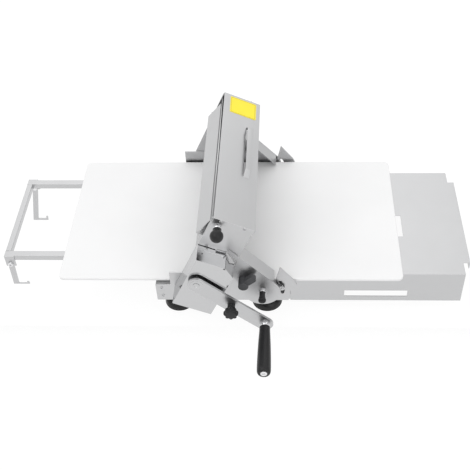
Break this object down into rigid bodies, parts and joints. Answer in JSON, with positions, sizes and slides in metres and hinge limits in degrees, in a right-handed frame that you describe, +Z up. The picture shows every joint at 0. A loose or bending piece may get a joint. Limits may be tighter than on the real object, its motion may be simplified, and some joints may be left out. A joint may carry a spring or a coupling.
{
  "type": "hand-cranked dough sheeter",
  "caption": "Bench dough sheeter: a white board slides between two crank-driven rollers under a leaning, tilting steel head, with a tray on one side and a rail frame on the other.",
  "frame": {"origin": "on the bench, under the middle of the whole machine's box", "axes": "+X along the board from the rail frame to the tray, +Y away from the crank, +Z up"},
  "size_m": [1.0132, 0.5946, 0.3107],
  "materials": {
    "steel": "fine brushed stainless sheet",
    "chrome": "bright polished",
    "white_plastic": "satin white board",
    "black_plastic": "semi-gloss moulded black",
    "grey_plastic": "matt dark grey",
    "rubber": "matt black",
    "bronze": "plain bearing bronze"
  },
  "bodies": {
    "base": {"base_pan": "steel", "foot_bar_left": "steel", "foot_bar_right": "steel", "suction_cup_front_left": "rubber", "suction_cup_front_right": "rubber", "suction_cup_back_left": "rubber", "suction_cup_back_right": "rubber", "side_plate_front": "steel", "side_plate_back": "steel", "side_spacer_front": "grey_plastic", "side_spacer_back": "grey_plastic", "tower_plate_front": "steel", "tower_plate_back": "steel", "cover_rim": "steel", "gear_cover": "steel", "idler_axle": "steel", "roller_bushing_front": "bronze", "roller_bushing_back": "bronze", "crank_bushing": "bronze", "tray": "steel", "tray_splice": "steel", "rail_front": "steel", "rail_back": "steel", "rail_seat": "steel", "crossbar": "steel", "leg_bolt_front": "chrome", "leg_bolt_back": "chrome", "pivot_bolt_front": "steel", "pivot_bolt_back": "steel"},
    "board": {"board": "white_plastic"},
    "lower_roller": {"lower_roller": "steel", "roller_gear": "steel"},
    "idler": {"idler_gear": "steel"},
    "crank": {"crank_shaft": "steel", "crank_gear": "steel", "crank_arm": "steel", "crank_hub_screw": "steel", "grip_spindle": "chrome"},
    "star_knob": {"star_knob": "black_plastic"},
    "grip": {"grip": "black_plastic", "grip_cap": "chrome"},
    "head": {"head_plate_front": "steel", "head_plate_back": "steel", "brace_front": "steel", "brace_back": "steel", "guide_pin": "steel", "plunger_collar": "chrome", "hood_top": "steel", "hood_side_panel": "steel", "roller_arm_front": "steel", "roller_arm_back": "steel", "head_tie_rod": "steel", "upper_scraper": "steel"},
    "upper_roller": {"upper_roller": "steel"},
    "index_knob": {"index_knob": "black_plastic"},
    "lock_knob": {"lock_knob": "black_plastic"},
    "wing_knob": {"wing_knob": "grey_plastic"},
    "leg_front": {"leg_front": "steel"},
    "leg_back": {"leg_back": "steel"}
  },
  "joints": [
    {"name": "board_slide", "type": "slide", "parent": "base", "child": "board", "axis": [1, 0, 0], "range_m": [-0.34, 0.27]},
    {"name": "lower_roller_turn", "type": "hinge", "parent": "base", "child": "lower_roller", "pos_m": [-0.05405, 0.08595, 0.097], "axis": [0, 1, 0], "range_deg": [-1300, 1032]},
    {"name": "idler_turn", "type": "hinge", "parent": "base", "child": "idler", "pos_m": [-0.04824, -0.12885, 0.13253], "axis": [0, 1, 0], "range_deg": [-516, 650]},
    {"name": "crank_turn", "type": "hinge", "parent": "base", "child": "crank", "pos_m": [-0.06257, -0.16595, 0.17201], "axis": [0, 1, 0], "range_deg": [-866, 688]},
    {"name": "star_knob_turn", "type": "hinge", "parent": "crank", "child": "star_knob", "pos_m": [0.0049, -0.17095, 0.11169], "axis": [0, 1, 0], "range_deg": [0, 360]},
    {"name": "grip_turn", "type": "hinge", "parent": "crank", "child": "grip", "pos_m": [0.07237, -0.17855, 0.05137], "axis": [0, 1, 0], "continuous": true},
    {"name": "head_swing", "type": "hinge", "parent": "base", "child": "head", "pos_m": [0.06695, 0.08595, 0.097], "axis": [0, 1, 0], "range_deg": [0, 4.8]},
    {"name": "upper_roller_turn", "type": "hinge", "parent": "head", "child": "upper_roller", "pos_m": [-0.05405, 0.08595, 0.1433], "axis": [0, 1, 0], "range_deg": [-704, 886]},
    {"name": "index_knob_pull", "type": "slide", "parent": "head", "child": "index_knob", "axis": [0, -1, 0], "range_m": [0, 0.008], "stiffness_N_per_m": 300, "springref_m": -0.004},
    {"name": "lock_knob_pull", "type": "slide", "parent": "base", "child": "lock_knob", "axis": [0, -1, 0], "range_m": [0, 0.006], "stiffness_N_per_m": 300, "springref_m": -0.004},
    {"name": "wing_knob_turn", "type": "hinge", "parent": "head", "child": "wing_knob", "pos_m": [0.02895, -0.12165, 0.137], "axis": [0, 1, 0], "range_deg": [0, 180]},
    {"name": "leg_front_fold", "type": "hinge", "parent": "base", "child": "leg_front", "pos_m": [-0.48805, -0.03205, 0.09], "axis": [0, -1, 0], "range_deg": [0, 90]},
    {"name": "leg_back_fold", "type": "hinge", "parent": "base", "child": "leg_back", "pos_m": [-0.48805, 0.21795, 0.09], "axis": [0, -1, 0], "range_deg": [0, 90]}
  ],
  "couplings": [
    {"joint": "lower_roller_turn", "follows": "board_slide", "rad_per_m": 66.667},
    {"joint": "idler_turn", "follows": "board_slide", "rad_per_m": -33.333},
    {"joint": "crank_turn", "follows": "board_slide", "rad_per_m": 44.444},
    {"joint": "upper_roller_turn", "follows": "board_slide", "rad_per_m": -45.455}
  ]
}
